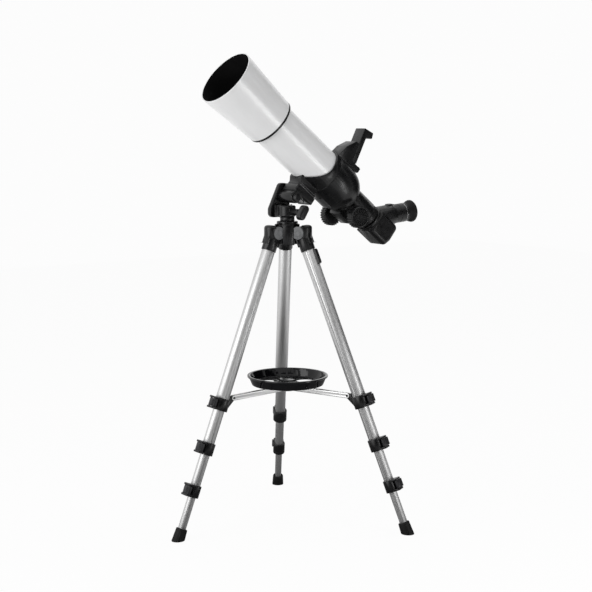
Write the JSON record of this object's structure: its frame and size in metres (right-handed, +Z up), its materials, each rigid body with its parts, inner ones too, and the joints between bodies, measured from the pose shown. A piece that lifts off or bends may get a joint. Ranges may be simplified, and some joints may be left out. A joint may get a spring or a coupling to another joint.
{
  "type": "telescope on tripod",
  "caption": "Small white refractor telescope with flared dew shield, focuser, angled eyepiece and phone cradle, on a pan-tilt head over a folding tripod with extending legs and a tray",
  "frame": {"origin": "on the floor under the pan axis, midway between the three feet", "axes": "Z up; the telescope points towards -Y; +X is the side with the pan lock"},
  "size_m": [0.3966, 0.4962, 0.7784],
  "materials": {
    "white_enamel": "gloss white enamel",
    "black_plastic": "satin black moulded plastic",
    "gloss_black": "gloss black moulded plastic",
    "grey_plastic": "grey moulded plastic",
    "lever_plastic": "black moulded plastic, worn satin",
    "silver_tube": "silver anodised, drawn along its length",
    "steel": "turned steel",
    "glass": "coated optical glass",
    "rubber": "matt black rubber"
  },
  "bodies": {
    "crown": {"crown": "black_plastic", "hinge_pins": "grey_plastic"},
    "pan_head": {"pan_yoke": "black_plastic"},
    "pan_lock": {"pan_lock": "black_plastic"},
    "telescope": {"tilt_platform": "black_plastic", "tube_collar": "black_plastic", "rear_housing": "black_plastic", "main_tube": "white_enamel", "dew_shield": "white_enamel", "lens_cell": "black_plastic", "objective_lens": "glass", "phone_cradle": "black_plastic"},
    "camera_screw": {"camera_screw": "steel"},
    "drawtube": {"drawtube": "black_plastic"},
    "focus_wheel": {"pinion_shaft": "steel", "focus_knobs": "black_plastic"},
    "diagonal": {"diagonal_housing": "black_plastic", "diagonal_prism": "glass"},
    "eyepiece": {"eyepiece_body": "black_plastic", "eyepiece_lenses": "glass", "eyecup": "rubber"},
    "phone_jaw": {"phone_jaw": "black_plastic"},
    "spreader_hub": {"spreader_hub": "black_plastic"},
    "tray": {"tray": "gloss_black"},
    "leg1": {"leg1_fittings": "black_plastic", "leg1_tube1": "silver_tube"},
    "leg1_section2": {"leg1_tube2": "silver_tube", "leg1_lock2": "black_plastic"},
    "leg1_section3": {"leg1_tube3": "silver_tube", "leg1_lock3": "black_plastic"},
    "leg1_section4": {"leg1_tube4": "silver_tube", "leg1_foot": "rubber"},
    "leg1_lever1": {"leg1_lever1": "lever_plastic"},
    "leg1_lever2": {"leg1_lever2": "lever_plastic"},
    "leg1_lever3": {"leg1_lever3": "lever_plastic"},
    "spreader_arm1": {"spreader_arm1": "silver_tube"},
    "leg2": {"leg2_fittings": "black_plastic", "leg2_tube1": "silver_tube"},
    "leg2_section2": {"leg2_tube2": "silver_tube", "leg2_lock2": "black_plastic"},
    "leg2_section3": {"leg2_tube3": "silver_tube", "leg2_lock3": "black_plastic"},
    "leg2_section4": {"leg2_tube4": "silver_tube", "leg2_foot": "rubber"},
    "leg2_lever1": {"leg2_lever1": "lever_plastic"},
    "leg2_lever2": {"leg2_lever2": "lever_plastic"},
    "leg2_lever3": {"leg2_lever3": "lever_plastic"},
    "spreader_arm2": {"spreader_arm2": "silver_tube"},
    "leg3": {"leg3_fittings": "black_plastic", "leg3_tube1": "silver_tube"},
    "leg3_section2": {"leg3_tube2": "silver_tube", "leg3_lock2": "black_plastic"},
    "leg3_section3": {"leg3_tube3": "silver_tube", "leg3_lock3": "black_plastic"},
    "leg3_section4": {"leg3_tube4": "silver_tube", "leg3_foot": "rubber"},
    "leg3_lever1": {"leg3_lever1": "lever_plastic"},
    "leg3_lever2": {"leg3_lever2": "lever_plastic"},
    "leg3_lever3": {"leg3_lever3": "lever_plastic"},
    "spreader_arm3": {"spreader_arm3": "silver_tube"}
  },
  "joints": [
    {"name": "pan", "type": "hinge", "parent": "crown", "child": "pan_head", "pos_m": [0, 0, 0.50653], "axis": [0, 0, 1], "continuous": true},
    {"name": "tilt", "type": "hinge", "parent": "pan_head", "child": "telescope", "pos_m": [0, 0.004, 0.54653], "axis": [-1, 0, 0], "range_deg": [-55, 30]},
    {"name": "pan_lock_turn", "type": "hinge", "parent": "pan_head", "child": "pan_lock", "pos_m": [0, 0, 0.52253], "axis": [1, 0, 0], "continuous": true},
    {"name": "camera_screw_turn", "type": "hinge", "parent": "telescope", "child": "camera_screw", "pos_m": [0, 0.01993, 0.53363], "axis": [0, 0.6293, 0.7771], "continuous": true},
    {"name": "focus_slide", "type": "slide", "parent": "telescope", "child": "drawtube", "axis": [0, 0.7771, -0.6293], "range_m": [-0.025, 0.035]},
    {"name": "focus_knob_turn", "type": "hinge", "parent": "telescope", "child": "focus_wheel", "pos_m": [0, 0.11903, 0.51077], "axis": [-1, 0, 0], "range_deg": [-290, 405]},
    {"name": "diagonal_turn", "type": "hinge", "parent": "drawtube", "child": "diagonal", "pos_m": [0, 0.17193, 0.50332], "axis": [0, 0.7771, -0.6293], "range_deg": [-110, 110]},
    {"name": "eyepiece_slide", "type": "slide", "parent": "diagonal", "child": "eyepiece", "axis": [0, 0.9945, 0.1045], "range_m": [0, 0.015]},
    {"name": "jaw_slide", "type": "slide", "parent": "telescope", "child": "phone_jaw", "axis": [0, 0.4462, 0.8949], "range_m": [0, 0.02], "stiffness_N_per_m": 90, "springref_m": -0.006},
    {"name": "leg1_fold", "type": "hinge", "parent": "crown", "child": "leg1", "pos_m": [0, -0.024, 0.48793], "axis": [1, 0, 0], "range_deg": [0, 5]},
    {"name": "leg1_slide2", "type": "slide", "parent": "leg1", "child": "leg1_section2", "axis": [0, -0.3616, -0.9323], "range_m": [-0.05, 0.165]},
    {"name": "leg1_slide3", "type": "slide", "parent": "leg1_section2", "child": "leg1_section3", "axis": [0, -0.3616, -0.9323], "range_m": [-0.05, 0.15]},
    {"name": "leg1_slide4", "type": "slide", "parent": "leg1_section3", "child": "leg1_section4", "axis": [0, -0.3616, -0.9323], "range_m": [-0.05, 0.135]},
    {"name": "leg1_lever1_flip", "type": "hinge", "parent": "leg1", "child": "leg1_lever1", "pos_m": [-0.0055, -0.14902, 0.2198], "axis": [0, -0.3616, -0.9323], "range_deg": [0, 95]},
    {"name": "leg1_lever2_flip", "type": "hinge", "parent": "leg1_section2", "child": "leg1_lever2", "pos_m": [-0.0055, -0.17471, 0.14943], "axis": [0, -0.3616, -0.9323], "range_deg": [0, 95]},
    {"name": "leg1_lever3_flip", "type": "hinge", "parent": "leg1_section3", "child": "leg1_lever3", "pos_m": [-0.0055, -0.19913, 0.08232], "axis": [0, -0.3616, -0.9323], "range_deg": [0, 95]},
    {"name": "spreader_arm1_fold", "type": "hinge", "parent": "leg1", "child": "spreader_arm1", "pos_m": [0, -0.1094, 0.22159], "axis": [1, 0, 0], "range_deg": [0, 35.6]},
    {"name": "leg2_fold", "type": "hinge", "parent": "crown", "child": "leg2", "pos_m": [0.02079, 0.012, 0.48793], "axis": [-0.5, 0.866, 0], "range_deg": [0, 5]},
    {"name": "leg2_slide2", "type": "slide", "parent": "leg2", "child": "leg2_section2", "axis": [0.3132, 0.1808, -0.9323], "range_m": [-0.05, 0.165]},
    {"name": "leg2_slide3", "type": "slide", "parent": "leg2_section2", "child": "leg2_section3", "axis": [0.3132, 0.1808, -0.9323], "range_m": [-0.05, 0.15]},
    {"name": "leg2_slide4", "type": "slide", "parent": "leg2_section3", "child": "leg2_section4", "axis": [0.3132, 0.1808, -0.9323], "range_m": [-0.05, 0.135]},
    {"name": "leg2_lever1_flip", "type": "hinge", "parent": "leg2", "child": "leg2_lever1", "pos_m": [0.13181, 0.06975, 0.2198], "axis": [0.3132, 0.1808, -0.9323], "range_deg": [0, 95]},
    {"name": "leg2_lever2_flip", "type": "hinge", "parent": "leg2_section2", "child": "leg2_lever2", "pos_m": [0.15405, 0.08259, 0.14943], "axis": [0.3132, 0.1808, -0.9323], "range_deg": [0, 95]},
    {"name": "leg2_lever3_flip", "type": "hinge", "parent": "leg2_section3", "child": "leg2_lever3", "pos_m": [0.1752, 0.0948, 0.08232], "axis": [0.3132, 0.1808, -0.9323], "range_deg": [0, 95]},
    {"name": "spreader_arm2_fold", "type": "hinge", "parent": "leg2", "child": "spreader_arm2", "pos_m": [0.09474, 0.0547, 0.22159], "axis": [-0.5, 0.866, 0], "range_deg": [0, 35.6]},
    {"name": "leg3_fold", "type": "hinge", "parent": "crown", "child": "leg3", "pos_m": [-0.02079, 0.012, 0.48793], "axis": [-0.5, -0.866, 0], "range_deg": [0, 5]},
    {"name": "leg3_slide2", "type": "slide", "parent": "leg3", "child": "leg3_section2", "axis": [-0.3132, 0.1808, -0.9323], "range_m": [-0.05, 0.165]},
    {"name": "leg3_slide3", "type": "slide", "parent": "leg3_section2", "child": "leg3_section3", "axis": [-0.3132, 0.1808, -0.9323], "range_m": [-0.05, 0.15]},
    {"name": "leg3_slide4", "type": "slide", "parent": "leg3_section3", "child": "leg3_section4", "axis": [-0.3132, 0.1808, -0.9323], "range_m": [-0.05, 0.135]},
    {"name": "leg3_lever1_flip", "type": "hinge", "parent": "leg3", "child": "leg3_lever1", "pos_m": [-0.12631, 0.07928, 0.2198], "axis": [-0.3132, 0.1808, -0.9323], "range_deg": [0, 95]},
    {"name": "leg3_lever2_flip", "type": "hinge", "parent": "leg3_section2", "child": "leg3_lever2", "pos_m": [-0.14855, 0.09212, 0.14943], "axis": [-0.3132, 0.1808, -0.9323], "range_deg": [0, 95]},
    {"name": "leg3_lever3_flip", "type": "hinge", "parent": "leg3_section3", "child": "leg3_lever3", "pos_m": [-0.1697, 0.10433, 0.08232], "axis": [-0.3132, 0.1808, -0.9323], "range_deg": [0, 95]},
    {"name": "spreader_arm3_fold", "type": "hinge", "parent": "leg3", "child": "spreader_arm3", "pos_m": [-0.09474, 0.0547, 0.22159], "axis": [-0.5, -0.866, 0], "range_deg": [0, 35.6]},
    {"name": "spreader_lift", "type": "slide", "parent": "crown", "child": "spreader_hub", "axis": [0, 0, 1], "range_m": [0, 0.0514]},
    {"name": "tray_turn", "type": "hinge", "parent": "spreader_hub", "child": "tray", "pos_m": [0, 0, 0.23199], "axis": [0, 0, 1], "continuous": true}
  ],
  "couplings": [
    {"joint": "focus_knob_turn", "follows": "focus_slide", "rad_per_m": 200},
    {"joint": "spreader_arm1_fold", "follows": "leg1_fold", "ratio": 6.9227},
    {"joint": "leg2_fold", "follows": "leg1_fold", "ratio": 1},
    {"joint": "spreader_arm2_fold", "follows": "leg1_fold", "ratio": 6.9227},
    {"joint": "leg3_fold", "follows": "leg1_fold", "ratio": 1},
    {"joint": "spreader_arm3_fold", "follows": "leg1_fold", "ratio": 6.9227},
    {"joint": "spreader_lift", "follows": "leg1_fold", "m_per_rad": 0.58358}
  ]
}
